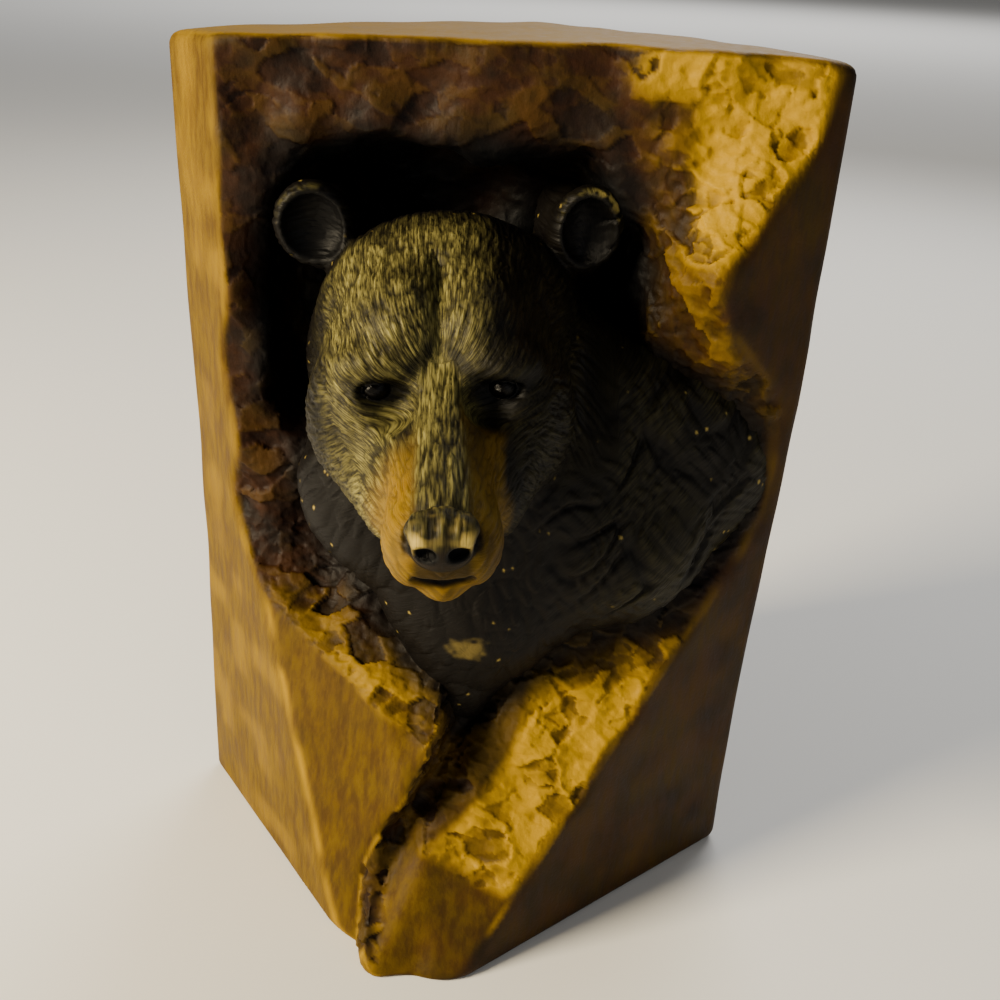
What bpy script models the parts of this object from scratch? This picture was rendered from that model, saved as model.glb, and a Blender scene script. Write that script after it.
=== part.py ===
"""Bear figurine: a black bear's head and shoulder coming out of a broken column of rock.

It is one casting in painted resin. The column stands square, with one corner to the front, and
that corner is broken away: a niche above, in which the bear sits, and a slanting foot below.
The form is a field that is negative inside the casting, meshed once and then thinned.
Metres, +Z up, the bear looks along -Y, and the origin is the middle of the box under the base.
"""
import math

import bpy
import numpy as np
import openvdb

MM = 0.001

# Sizes that drive the column
BLOCK_HEIGHT = 150 * MM
BLOCK_SIDE = 77 * MM
EDGE_ROUNDING = 2.0 * MM
FOOT_ROUNDING = 1.6 * MM
LEFT_LEAN = 0.8 * MM  # the left edge leans in by this much at the top
LEFT_WAIST = 1.0 * MM  # and is hollow by this much below its middle
RIGHT_FLARE = 1.8 * MM  # the right edge leans out by this much
FRONT_SPREAD = 1.5 * MM  # the two front walls stand out by this much where they would meet
TOP_CROWN = 1.4 * MM  # the top is that much higher in its middle
TOP_RISE = 2.0 * MM  # and that much higher at its right corner than at its left

# The broken front: where its planes lie, measured back (+) or forward (-) of the column's middle
RIM_LEFT = -14.5 * MM
RIM_RIGHT = -3.0 * MM
RIM_LUMP = 12 * MM
FACET_FOOT = -47.0 * MM
FACET_SLOPE = 0.207
FACET_TURN = -0.42
SILL_FOOT = -48.8 * MM
SILL_SLOPE = 0.50
SILL_TURN = 0.17
CLIFF_WIDTH = 3.0 * MM
GROOVE_DEPTH = 4.0 * MM
ROUGHNESS = 0.9 * MM
ROUGH_GRAIN = 13 * MM
RIM_ROUNDING = 1.5 * MM
BREAK_ROUNDING = 4.0 * MM  # where the rim turns into the slanting foot

# The niche behind the head
NICHE_WIDTH = 62 * MM
NICHE_DEPTH = 22 * MM
NICHE_ROOF = 15 * MM  # rock left above it
NICHE_LIP = 3.0 * MM
NICHE_FLOOR_ROUNDING = 6.0 * MM
FUR_EDGE = 1.0 * MM  # fillet where the bear meets the rock

# The bear. Its lumps are hundredths of the head's length, in the head's own axes
HEAD_LENGTH = 60 * MM
NOSE_REACH = 68.5 * MM  # from the column's middle to the tip of the nose
EYE_HEIGHT = 105.3 * MM
EYE_SIDE = 0.3 * MM
HEAD_TURN = math.radians(12.2)
HEAD_DIP = math.radians(9.7)
HEAD_TILT = math.radians(2.7)
NOSE_AHEAD_OF_EYES = 0.567  # share of the head's length
LOCK_DEPTH = 0.4 * MM
LOCK_WIDTH = 4.5 * MM
LOCK_LENGTH = 10 * MM

# How finely it is cut
CELL = 0.8 * MM
TRIANGLES = 9400

HALF_DIAGONAL = BLOCK_SIDE / math.sqrt(2)
FILLET = 1.2  # the width of a blend over the radius of the rounding that it leaves
RESIN_COLOUR = (0.165, 0.105, 0.035, 1.0)


def blend(a, b, width):
    """The two shapes joined, with a fillet of about this width."""
    share = np.clip(0.5 + 0.5 * (b - a) / width, 0, 1)
    return b + (a - b) * share - width * share * (1 - share)


def meet(a, b, width):
    """What two shapes have in common, with the edge rounded."""
    return -blend(-a, -b, width)


def carve(a, b, width):
    """The first shape with the second cut out of it."""
    return meet(a, -b, width)


def ramp(value, start, end):
    """0 below start, 1 above end, and smooth between them."""
    share = np.clip((value - start) / (end - start), 0, 1)
    return share * share * (3 - 2 * share)


def waves(x, y, z, grain, seed, count=10):
    """Smooth lumps of about one grain across, between about -1 and 1."""
    chance = np.random.default_rng(seed)
    total = 0.0
    for _ in range(count):
        direction = chance.normal(size=3)
        direction *= 2 * math.pi / (grain * chance.uniform(0.7, 1.5)) / np.linalg.norm(direction)
        phase = chance.uniform(0, 2 * math.pi)
        total = total + np.sin(direction[0] * x + direction[1] * y + direction[2] * z + phase)
    return total / math.sqrt(count)


def ellipsoid(point, centre, radii):
    """About the distance to an ellipsoid that lies along the axes of the point."""
    scaled = [(p - c) / r for p, c, r in zip(point, centre, radii)]
    reach = np.sqrt(sum(s * s for s in scaled))
    steep = np.sqrt(sum((s / r) ** 2 for s, r in zip(scaled, radii)))
    return reach * (reach - 1) / np.maximum(steep, 1e-6)


def head_axes():
    """The head's forward, right and up directions, with right and left as the viewer sees them."""
    turn, dip, tilt = HEAD_TURN, HEAD_DIP, HEAD_TILT
    forward = np.array([math.sin(turn) * math.cos(dip), -math.cos(turn) * math.cos(dip), -math.sin(dip)])
    level = np.array([math.cos(turn), math.sin(turn), 0.0])
    upright = np.cross(forward, level)
    upright *= np.sign(upright[2])
    right = math.cos(tilt) * level + math.sin(tilt) * upright
    up = math.cos(tilt) * upright - math.sin(tilt) * level
    return forward, right, up


def eye_middle():
    """The point midway between the eyes, set back from the nose's tip."""
    back = NOSE_AHEAD_OF_EYES * HEAD_LENGTH * math.cos(HEAD_TURN) * math.cos(HEAD_DIP)
    return np.array([EYE_SIDE, -NOSE_REACH + back, EYE_HEIGHT])


def in_head(x, y, z):
    """A point in hundredths of the head's length, from midway between the eyes."""
    unit = HEAD_LENGTH / 100
    middle = eye_middle()
    away = (x - middle[0], y - middle[1], z - middle[2])
    return [(away[0] * a[0] + away[1] * a[1] + away[2] * a[2]) / unit for a in head_axes()]


def pair(point, centre, radii):
    """The same lump on the left and on the right."""
    forward, side, up = point
    return ellipsoid((forward, np.abs(side), up), centre, radii)


def skull(p):
    """The head without its ears, from the nape to the cheeks."""
    shape = ellipsoid(p, (-42, 2, -1), (33, 35, 27))
    shape = blend(shape, ellipsoid(p, (-10, 0, -14), (22, 24, 22)), 9)
    shape = blend(shape, pair(p, (-20, 9, 8), (19, 14, 14)), 5)
    shape = blend(shape, pair(p, (-15, 18, -14), (21, 16, 22)), 7)
    shape = blend(shape, pair(p, (0, 10, -22), (23, 13, 15)), 8)
    return blend(shape, pair(p, (-4.5, 15, 6), (7, 9.5, 5)), 4)


def muzzle(p):
    """Bridge, sides of the muzzle, lips and chin."""
    shape = ellipsoid(p, (12, 0, -12), (28, 13.5, 14))
    shape = blend(shape, ellipsoid(p, (32, 0, -13), (20, 11.8, 12.5)), 5)
    shape = blend(shape, ellipsoid(p, (17, 0, -5.5), (34, 6.4, 6.5)), 4)
    shape = blend(shape, pair(p, (40, 4.6, -13.5), (12, 7.2, 10)), 3)
    shape = blend(shape, ellipsoid(p, (22, 0, -23), (24, 10.5, 9)), 5)
    return blend(shape, ellipsoid(p, (38, 0, -21), (12.5, 6.6, 5.8)), 2)


def nose(p):
    """The pad with its two wings."""
    shape = ellipsoid(p, (50.2, 0, -5.2), (6.2, 7.4, 7.0))
    return blend(shape, pair(p, (51, 4.6, -3.6), (4.6, 3.8, 4.2)), 2)


def ear(p, side):
    """A round cup that opens forward, on a root that runs back into the rock."""
    middle = (-52 + 2 * side, 3.5 + 36.5 * side, 21)
    cup = ellipsoid(p, middle, (6.5, 9.9 - 0.7 * side, 11.5))
    hollow = ellipsoid(p, (middle[0] + 6, middle[1], middle[2] + 0.6), (6.5, 8.0 - 0.6 * side, 9.4))
    root = ellipsoid(p, (middle[0] - 14, middle[1] - 4 * side, middle[2] - 5), (19, 9, 12))
    return carve(blend(cup, root, 4), hollow, 1.2)


def features(p, head):
    """Eyes, nostrils, the mouth and the furrow of the brow, cut in."""
    forward, side, up = p
    head = carve(head, pair(p, (6, 11.5, -0.5), (6.5, 6, 4.5)), 4)
    head = carve(head, pair(p, (3, 15.2, 0.9), (5.2, 5.2, 2.8)), 1.2)
    head = blend(head, pair(p, (-1.8, 15.3, 0.8), (3.5, 3.4, 2.8)), 0.5)
    head = carve(head, pair(p, (57, 3.6, -5.4), (4.5, 2.5, 2.0)), 0.8)
    lips = -17.3 + 0.03 * side * side
    mouth = np.exp(-(((up - lips) / 1.2) ** 2)) * ramp(forward, 36, 40)
    head = head + 1.8 * mouth * (1 - ramp(np.abs(side), 5.5, 7.5))
    furrow = ellipsoid(p, (-8, 0, 21), (20, 2.4, 5))
    return carve(head, furrow, 5)


def body(p):
    """Neck, chest down to its point, and the shoulder on the viewer's right, placed about the head."""
    forward, side, up = p
    slant = math.radians(14)
    along = math.cos(slant) * side - math.sin(slant) * up
    above = math.sin(slant) * side + math.cos(slant) * up
    shape = ellipsoid(p, (-55, 4, -20), (34, 42, 38))
    shape = blend(shape, ellipsoid(p, (-34, 8, -50), (36, 50, 36)), 12)
    shape = blend(shape, ellipsoid(p, (-14, 10, -78), (23, 27, 26)), 12)
    shape = blend(shape, ellipsoid(p, (-7, 5, -98), (13, 11, 17)), 10)
    shape = blend(shape, ellipsoid(p, (-20, 44, -66), (20, 30, 24)), 12)
    return blend(shape, ellipsoid((forward, along, above), (-42, 60, -34), (27, 52, 39)), 12)


def locks(x, y, z):
    """Tufts of fur that run back over the head and out over the shoulder and chest."""
    forward, side, up = in_head(x, y, z)
    middle = up + 30
    across = np.arctan2(side, middle) * 0.5 * HEAD_LENGTH
    along = np.hypot(side, middle) * (HEAD_LENGTH / 100) * (LOCK_WIDTH / LOCK_LENGTH)
    bend = waves(x, y, z, 4 * LOCK_WIDTH, 5, 6) * 0.45 * LOCK_WIDTH
    return waves(across + bend, along, 0 * along, LOCK_WIDTH, 31, 10)


def bear(x, y, z):
    """The whole of the bear, as far as it stands out of the rock."""
    p = in_head(x, y, z)
    unit = HEAD_LENGTH / 100
    head = blend(skull(p), muzzle(p), 8)
    for side in (-1, 1):
        head = blend(head, ear(p, side), 3)
    inside_column = column(x, y, z) / unit
    shape = blend(head, meet(body(p), inside_column, 3), 6)
    furry = 1 - ramp(p[0], -12, 6) * ramp(p[2], -45, -32)
    shape = shape - locks(x, y, z) * furry * (LOCK_DEPTH / unit)
    shape = blend(shape, nose(p), 1.5)
    return features(p, shape) * unit


def column(x, y, z):
    """The column itself, before its front was broken away."""
    across = x / HALF_DIAGONAL
    high = z / BLOCK_HEIGHT
    left = LEFT_LEAN * ramp(high, 0, 1) + LEFT_WAIST * np.exp(-(((high - 0.42) / 0.25) ** 2))
    right = RIGHT_FLARE * ramp(high, 0.15, 0.7)
    lean = (left * np.maximum(-across, 0) - right * np.maximum(across, 0)) / math.sqrt(2)
    walls = [(sx * x + sy * y) / math.sqrt(2) - BLOCK_SIDE / 2 + lean for sx in (-1, 1) for sy in (-1, 1)]
    walls[0] = walls[0] - FRONT_SPREAD * (1 + across)
    walls[2] = walls[2] - FRONT_SPREAD * (1 - across)
    shape = walls[0]
    for wall in walls[1:]:
        shape = meet(shape, wall, FILLET * EDGE_ROUNDING)
    top = BLOCK_HEIGHT - TOP_CROWN * across ** 4 + TOP_RISE * (1 + across) / 2
    shape = meet(shape, z - top, FILLET * EDGE_ROUNDING)
    return meet(shape, -z, FILLET * FOOT_ROUNDING)


def facet_top(across):
    """Share of the height at which the plain left facet ends."""
    return 0.282 - 0.34 * (across - 0.5)


def broken_front(x, z):
    """How far back the rough front of the rock lies at each place."""
    across = (x + HALF_DIAGONAL) / (2 * HALF_DIAGONAL)
    high = z / BLOCK_HEIGHT
    rim = RIM_LEFT + (RIM_RIGHT - RIM_LEFT) * across
    rim = rim - RIM_LUMP * np.exp(-(((high - 0.79) / 0.10) ** 2)) * ramp(across, 0.72, 0.88)
    facet = FACET_FOOT + FACET_TURN * x + FACET_SLOPE * z
    facet = facet + 0.85 * BLOCK_HEIGHT * np.maximum(high - facet_top(across), 0)
    sill = SILL_FOOT + SILL_TURN * x + SILL_SLOPE * z
    cliff = (-0.20 + 0.21 * ramp(high, 0.08, 0.30)) * HALF_DIAGONAL
    lower = facet + (sill - facet) * ramp(x - cliff, 0, CLIFF_WIDTH)
    groove = np.exp(-(((x - cliff) / CLIFF_WIDTH - 1.4) ** 2)) * (1 - ramp(high, 0.28, 0.36))
    lower = lower + GROOVE_DEPTH * groove * ramp(high, 0.0, 0.10)
    return blend(rim, lower, BREAK_ROUNDING)


def smooth_places(x, z):
    """1 where the front was left rough, 0 on the two plain facets low down."""
    across = (x + HALF_DIAGONAL) / (2 * HALF_DIAGONAL)
    high = z / BLOCK_HEIGHT
    left = 1 - ramp(high - facet_top(across), -0.02, 0.02)
    left = left * (1 - ramp(across, 0.42, 0.48))
    right = 1 - ramp(high, 0.10, 0.13)
    right = right * ramp(across, 0.5, 0.56)
    return 1 - np.maximum(left, right)


def niche(x, y, z):
    """The hollow behind the head. Its floor slants up to the left, below the bear's neck."""
    top = BLOCK_HEIGHT - NICHE_ROOF
    bottom = 0.47 * BLOCK_HEIGHT
    middle = (x + 0.07 * HALF_DIAGONAL, y - RIM_LEFT, z - (top + bottom) / 2)
    half = (NICHE_WIDTH / 2, NICHE_DEPTH, (top - bottom) / 2)
    power = sum((np.abs(m) / h) ** 4 for m, h in zip(middle, half)) ** 0.25
    floor = 0.58 * BLOCK_HEIGHT - 0.7 * (x + 0.6 * HALF_DIAGONAL) - z
    return meet((power - 1) * NICHE_DEPTH, floor * 0.8, NICHE_FLOOR_ROUNDING)


def casting(x, y, z):
    """The whole figurine as one field, negative inside."""
    rough = waves(x, 0 * x, z, ROUGH_GRAIN, 11, 12) * ROUGHNESS * smooth_places(x, z)
    front = (broken_front(x, z) + rough - y) * 0.85
    rock = meet(column(x, y, z), front, RIM_ROUNDING)
    hollow = niche(x, y, z) + waves(x, y, z, ROUGH_GRAIN, 23, 8) * ROUGHNESS
    rock = carve(rock, hollow, NICHE_LIP)
    return blend(rock, bear(x, y, z), FUR_EDGE)


def grid_axes():
    """The cells that the figurine is cut in, with a margin all round."""
    margin = 3 * CELL
    reach = HALF_DIAGONAL + RIGHT_FLARE + margin
    x = np.arange(-reach, reach, CELL)
    y = np.arange(-NOSE_REACH - margin, reach, CELL)
    z = np.arange(-margin, BLOCK_HEIGHT + TOP_RISE + margin, CELL)
    return x, y, z


def field_mesh():
    """The figurine's skin, as points and faces. Its mould opens to the front, so no gap hides behind
    the ears or the neck: what lies behind the first skin is solid, as far as the column goes.
    """
    x, y, z = grid_axes()
    place = (x[:, None, None], y[None, :, None], z[None, None, :])
    field = casting(*place)
    behind = np.maximum(np.minimum.accumulate(field, axis=1), column(*place))
    field = np.minimum(field, behind)
    grid = openvdb.FloatGrid()
    grid.copyFromArray(np.ascontiguousarray(field / CELL, dtype=np.float32))
    grid.gridClass = openvdb.GridClass.LEVEL_SET
    points, triangles, quads = grid.convertToPolygons(isovalue=0.0, adaptivity=0.0)
    points = points * CELL + np.array([x[0], y[0], z[0]])
    low, high = points.min(axis=0), points.max(axis=0)
    points = points - np.array([(low[0] + high[0]) / 2, (low[1] + high[1]) / 2, low[2]])
    faces = [tuple(int(i) for i in face[::-1]) for group in (triangles, quads) for face in group]
    return points, faces


def resin(name):
    material = bpy.data.materials.new(name)
    material.use_nodes = True
    shader = material.node_tree.nodes["Principled BSDF"]
    shader.inputs["Base Color"].default_value = RESIN_COLOUR
    shader.inputs["Roughness"].default_value = 0.55
    shader.inputs["Metallic"].default_value = 0.0
    return material


def make_casting():
    points, faces = field_mesh()
    mesh = bpy.data.meshes.new("bear_in_rock")
    mesh.from_pydata(points.tolist(), [], faces)
    mesh.validate()
    piece = bpy.data.objects.new("bear_in_rock", mesh)
    bpy.context.scene.collection.objects.link(piece)
    mesh.materials.append(resin("painted_resin"))
    thin = piece.modifiers.new("thin", "DECIMATE")
    thin.ratio = TRIANGLES / (2 * len(faces))
    return piece


def main():
    for leftover in list(bpy.data.objects):
        bpy.data.objects.remove(leftover, do_unlink=True)
    make_casting()


main()
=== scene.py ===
"""Dresses the bear figurine: fur, chipped rock and hand-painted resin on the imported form.

The casting is one piece. Its surface is modelled again here from the same sizes, finer, as a rock
skin and a bear skin that meet along the edge of the niche, and is then painted.
"""

import math

import bpy
import numpy as np
import openvdb
from mathutils import Matrix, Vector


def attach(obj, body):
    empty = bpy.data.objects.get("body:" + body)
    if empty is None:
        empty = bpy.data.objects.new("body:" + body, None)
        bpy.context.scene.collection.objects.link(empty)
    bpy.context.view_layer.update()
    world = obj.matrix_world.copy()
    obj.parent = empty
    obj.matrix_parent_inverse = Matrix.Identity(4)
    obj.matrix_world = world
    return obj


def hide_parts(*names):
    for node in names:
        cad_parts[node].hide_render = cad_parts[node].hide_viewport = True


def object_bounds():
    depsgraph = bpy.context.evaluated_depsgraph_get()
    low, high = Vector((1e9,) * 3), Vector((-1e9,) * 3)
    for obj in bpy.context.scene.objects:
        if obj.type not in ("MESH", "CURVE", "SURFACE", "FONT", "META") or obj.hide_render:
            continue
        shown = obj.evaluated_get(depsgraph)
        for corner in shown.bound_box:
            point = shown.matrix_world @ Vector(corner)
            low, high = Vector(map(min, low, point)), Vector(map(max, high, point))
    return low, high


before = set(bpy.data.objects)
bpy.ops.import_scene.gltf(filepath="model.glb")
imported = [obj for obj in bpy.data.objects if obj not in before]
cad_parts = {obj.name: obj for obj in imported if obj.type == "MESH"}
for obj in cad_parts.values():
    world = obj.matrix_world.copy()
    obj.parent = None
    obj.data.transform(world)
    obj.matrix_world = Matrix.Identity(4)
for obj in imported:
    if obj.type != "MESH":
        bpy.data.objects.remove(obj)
CAD_BOX = [list(corner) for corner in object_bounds()]

bl_info = {
    "name": "Bear figurine in a rock column",
    "version": (1, 0, 0),
    "blender": (4, 5, 0),
    "location": "3D View > Sidebar > Figurine",
    "description": "Models and paints the skin of a cast resin bear figurine",
    "category": "Object",
}

MM = 0.001
NODE = "bear_in_rock"

# The form functions work round the column's middle, which stands here in the frame
MIDDLE = np.array([-0.934, 7.257, 0.0]) * MM

# Sizes that drive the column
BLOCK_HEIGHT = 150 * MM
BLOCK_SIDE = 77 * MM
EDGE_ROUNDING = 2.0 * MM
FOOT_ROUNDING = 1.6 * MM
LEFT_LEAN = 0.8 * MM  # the left edge leans in by this much at the top
LEFT_WAIST = 1.0 * MM  # and is hollow by this much below its middle
RIGHT_FLARE = 1.8 * MM  # the right edge leans out by this much
FRONT_SPREAD = 1.5 * MM  # the two front walls stand out by this much where they would meet
TOP_CROWN = 1.4 * MM  # the top is that much higher in its middle
TOP_RISE = 2.0 * MM  # and that much higher at its right corner than at its left

# The broken front: where its planes lie, measured back (+) or forward (-) of the column's middle
RIM_LEFT = -14.5 * MM
RIM_RIGHT = -3.0 * MM
RIM_LUMP = 12 * MM
FACET_FOOT = -47.0 * MM
FACET_SLOPE = 0.207
FACET_TURN = -0.42
SILL_FOOT = -48.8 * MM
SILL_SLOPE = 0.50
SILL_TURN = 0.17
CLIFF_FOOT = -0.20  # where the cliff between facet and sill stands at the foot, in half diagonals
CLIFF_LEAN = 0.21  # and how far it has moved to the right by a third of the height
CLIFF_WIDTH = 3.0 * MM
GROOVE_DEPTH = 4.0 * MM
ROUGHNESS = 0.9 * MM
ROUGH_GRAIN = 13 * MM
RIM_ROUNDING = 1.5 * MM
BREAK_ROUNDING = 4.0 * MM  # where the rim turns into the slanting foot

# The niche behind the head
NICHE_WIDTH = 62 * MM
NICHE_DEPTH = 22 * MM
NICHE_ROOF = 15 * MM  # rock left above it
NICHE_LIP = 3.0 * MM
NICHE_FLOOR_ROUNDING = 6.0 * MM

# The bear. Its lumps are hundredths of the head's length, in the head's own axes
HEAD_LENGTH = 60 * MM
NOSE_REACH = 68.5 * MM  # from the column's middle to the tip of the nose
EYE_HEIGHT = 105.3 * MM
EYE_SIDE = 0.3 * MM
HEAD_TURN = math.radians(12.2)
HEAD_DIP = math.radians(9.7)
HEAD_TILT = math.radians(2.7)
NOSE_AHEAD_OF_EYES = 0.567  # share of the head's length

HALF_DIAGONAL = BLOCK_SIDE / math.sqrt(2)
FILLET = 1.2  # the width of a blend over the radius of the rounding that it leaves
UNIT = HEAD_LENGTH / 100

# The camera of the photograph, placed round the column's middle
CAMERA_PLACE = np.array([28.94, -182.84, 161.95]) * MM
CAMERA_PITCH = math.radians(26.084)
CAMERA_ROLL = math.radians(3.275)
CAMERA_YAW = math.radians(-7.405)
CAMERA_LENS = 39.914  # millimetres, for a sensor as wide as the next value
SENSOR = 36
NEAREST_SHOWN = 0.01

# Each lamp's place, what it points at, its width, its watts and its colour
LAMPS = {
    "key": ((-0.52, -0.34, 0.36), (0, -0.01, 0.085), 0.22, 12.0, "#ffedc8"),
    "fill": ((0.50, -0.60, 0.35), (0, 0, 0.07), 0.60, 0.9, "#ffffff"),
    "back": ((0.15, 0.60, 0.60), (0, 0, 0.10), 0.50, 3.5, "#ffffff"),
    "far floor": ((0, 4.0, 2.4), (0, 4.3, 0), 3.0, 90, "#ffffff"),
}
STUDIO_COLOUR = "#f4f4f4"
STUDIO_GLOW = 0.16
FLOOR_WIDTH = 40

# The paint has the IOR of most plastics, and is too matt to mirror as much as they do
PAINT_IOR = 1.5
ROCK_SHINE = 0.13
FUR_SHINE = 0.12

# The Mix node's setting and sockets for colours, which can only be told apart by their numbers
COLOURS = {"data_type": "RGBA"}
SHARE, UNDER, OVER = 0, 6, 7
MIXED = 2

# The setting of a soft border between two values
SOFT = {"interpolation_type": "SMOOTHSTEP"}

# Where the bear's pieces part, in hundredths of the head's length from midway between the eyes
THROAT_LINE = -31
HEAD_SIDE = 45
NAPE = -75
FACE_BACK = -14
SHOULDER_START = 26


def linear(code):
    """An sRGB hex colour as linear light."""
    parts = [int(code[i:i + 2], 16) / 255 for i in (1, 3, 5)]
    light = [p / 12.92 if p <= 0.04045 else ((p + 0.055) / 1.055) ** 2.4 for p in parts]
    return (*light, 1.0)


def blend(a, b, width):
    """The two shapes joined, with a fillet of about this width."""
    share = np.clip(0.5 + 0.5 * (b - a) / width, 0, 1)
    return b + (a - b) * share - width * share * (1 - share)


def meet(a, b, width):
    """What two shapes have in common, with the edge rounded."""
    return -blend(-a, -b, width)


def carve(a, b, width):
    """The first shape with the second cut out of it."""
    return meet(a, -b, width)


def ramp(value, start, end):
    """0 below start, 1 above end, and smooth between them."""
    share = np.clip((value - start) / (end - start), 0, 1)
    return share * share * (3 - 2 * share)


def waves(x, y, z, grain, seed, count=10):
    """Smooth lumps of about one grain across, between about -1 and 1."""
    chance = np.random.default_rng(seed)
    total = 0.0
    for _ in range(count):
        direction = chance.normal(size=3)
        direction *= 2 * math.pi / (grain * chance.uniform(0.7, 1.5)) / np.linalg.norm(direction)
        phase = chance.uniform(0, 2 * math.pi)
        total = total + np.sin(direction[0] * x + direction[1] * y + direction[2] * z + phase)
    return total / math.sqrt(count)


def ellipsoid(point, centre, radii):
    """About the distance to an ellipsoid that lies along the axes of the point."""
    scaled = [(p - c) / r for p, c, r in zip(point, centre, radii)]
    reach = np.sqrt(sum(s * s for s in scaled))
    steep = np.sqrt(sum((s / r) ** 2 for s, r in zip(scaled, radii)))
    return reach * (reach - 1) / np.maximum(steep, 1e-6)


def head_axes():
    """The head's forward, right and up directions, with right and left as the viewer sees them."""
    turn, dip, tilt = HEAD_TURN, HEAD_DIP, HEAD_TILT
    forward = np.array([math.sin(turn) * math.cos(dip), -math.cos(turn) * math.cos(dip), -math.sin(dip)])
    level = np.array([math.cos(turn), math.sin(turn), 0.0])
    upright = np.cross(forward, level)
    upright *= np.sign(upright[2])
    right = math.cos(tilt) * level + math.sin(tilt) * upright
    up = math.cos(tilt) * upright - math.sin(tilt) * level
    return forward, right, up


def eye_middle():
    """The point midway between the eyes, set back from the nose's tip."""
    back = NOSE_AHEAD_OF_EYES * HEAD_LENGTH * math.cos(HEAD_TURN) * math.cos(HEAD_DIP)
    return np.array([EYE_SIDE, -NOSE_REACH + back, EYE_HEIGHT])


def in_head(x, y, z):
    """A point in hundredths of the head's length, from midway between the eyes."""
    middle = eye_middle()
    away = (x - middle[0], y - middle[1], z - middle[2])
    return [(away[0] * a[0] + away[1] * a[1] + away[2] * a[2]) / UNIT for a in head_axes()]


def pair(point, centre, radii):
    """The same lump on the left and on the right."""
    forward, side, up = point
    return ellipsoid((forward, np.abs(side), up), centre, radii)


def skull(p):
    """The head without its ears, from the nape to the cheeks."""
    shape = ellipsoid(p, (-42, 2, -1), (33, 35, 27))  # brain case
    shape = blend(shape, ellipsoid(p, (-10, 0, -14), (22, 24, 22)), 9)  # middle of the face
    shape = blend(shape, pair(p, (-20, 9, 8), (19, 14, 14)), 5)  # forehead
    shape = blend(shape, pair(p, (-15, 18, -14), (21, 16, 22)), 7)  # cheeks
    shape = blend(shape, pair(p, (0, 10, -22), (23, 13, 15)), 8)  # jaw
    return blend(shape, pair(p, (-4.5, 15, 6), (7, 9.5, 5)), 4)  # brows


def muzzle(p):
    """Bridge, sides of the muzzle, lips and chin."""
    shape = ellipsoid(p, (12, 0, -12), (28, 13.5, 14))  # root
    shape = blend(shape, ellipsoid(p, (32, 0, -13), (20, 11.8, 12.5)), 5)  # front
    shape = blend(shape, ellipsoid(p, (17, 0, -5.5), (34, 6.4, 6.5)), 4)  # bridge
    shape = blend(shape, pair(p, (39, 6.0, -13.5), (12.5, 7.6, 9.5)), 3)  # lips
    shape = blend(shape, ellipsoid(p, (22, 0, -23), (24, 10.5, 9)), 5)  # lower jaw
    return blend(shape, ellipsoid(p, (38, 0, -21), (12.5, 6.6, 5.8)), 2)  # chin


def nose(p):
    """The pad with its two wings."""
    shape = ellipsoid(p, (50.2, 0, -5.2), (6.2, 7.4, 7.0))
    return blend(shape, pair(p, (51, 4.6, -3.6), (4.6, 3.8, 4.2)), 2)


def ear(p, side):
    """A round cup that opens forward, on a root that runs back into the rock."""
    cup = ellipsoid(p, (-52 + 2 * side, 3.5 + 36.5 * side, 21), (6.5, 9.9 - 0.7 * side, 11.5))
    root = ellipsoid(p, (-66 + 2 * side, 3.5 + 32.5 * side, 16), (19, 9, 12))
    return carve(blend(cup, root, 4), ear_hollow(p, side), 1.2)


def ear_hollow(p, side):
    """Distance from the hollow of one ear."""
    return ellipsoid(p, (-46 + 2 * side, 3.5 + 36.5 * side, 21.6), (6.5, 8.0 - 0.6 * side, 9.4))


def eyeballs(p):
    """The two eyes."""
    return pair(p, (-1.8, 15.3, 0.8), (3.5, 3.4, 2.8))


def lip_line(side):
    """Height of the line between the lips, which rises a little to the corners."""
    return -17.3 + 0.03 * side * side


def features(p, head):
    """Eyes, nostrils, the mouth and the furrow of the brow, cut in."""
    forward, side, up = p
    head = carve(head, pair(p, (6, 11.5, -0.5), (6.5, 6, 4.5)), 4)  # hollow beside the bridge
    head = carve(head, pair(p, (3, 15.2, 0.9), (5.2, 5.2, 2.8)), 1.2)  # socket
    head = blend(head, eyeballs(p), 0.5)
    head = carve(head, pair(p, (57, 3.6, -5.4), (4.5, 2.5, 2.0)), 0.8)  # nostril
    mouth = np.exp(-(((up - lip_line(side)) / 1.2) ** 2)) * ramp(forward, 36, 40)
    head = head + 1.8 * mouth * (1 - ramp(np.abs(side), 5.5, 7.5))
    wing_slit = pair(p, (52, 7.4, -5.5), (6, 0.9, 2.6))
    head = head + 1.3 * np.exp(-np.maximum(wing_slit, 0) / 0.5) * ramp(forward, 44, 47)
    return carve(head, ellipsoid(p, (-8, 0, 22.5), (20, 2.4, 5)), 3)


def body(p):
    """Neck, chest down to its point, and the shoulder on the viewer's right, placed about the head."""
    forward, side, up = p
    slant = math.radians(14)  # how far the shoulder drops to the side
    along = math.cos(slant) * side - math.sin(slant) * up
    above = math.sin(slant) * side + math.cos(slant) * up
    shape = ellipsoid(p, (-55, 4, -20), (34, 42, 38))  # neck
    shape = blend(shape, ellipsoid(p, (-34, 8, -50), (36, 50, 36)), 12)  # chest
    shape = blend(shape, ellipsoid(p, (-14, 10, -78), (23, 27, 26)), 12)  # lower chest
    shape = blend(shape, ellipsoid(p, (-7, 5, -98), (13, 11, 17)), 10)  # its point
    shape = blend(shape, ellipsoid(p, (-20, 44, -66), (20, 30, 24)), 12)  # under the shoulder
    return blend(shape, ellipsoid((forward, along, above), (-42, 60, -34), (27, 52, 39)), 12)


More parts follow.
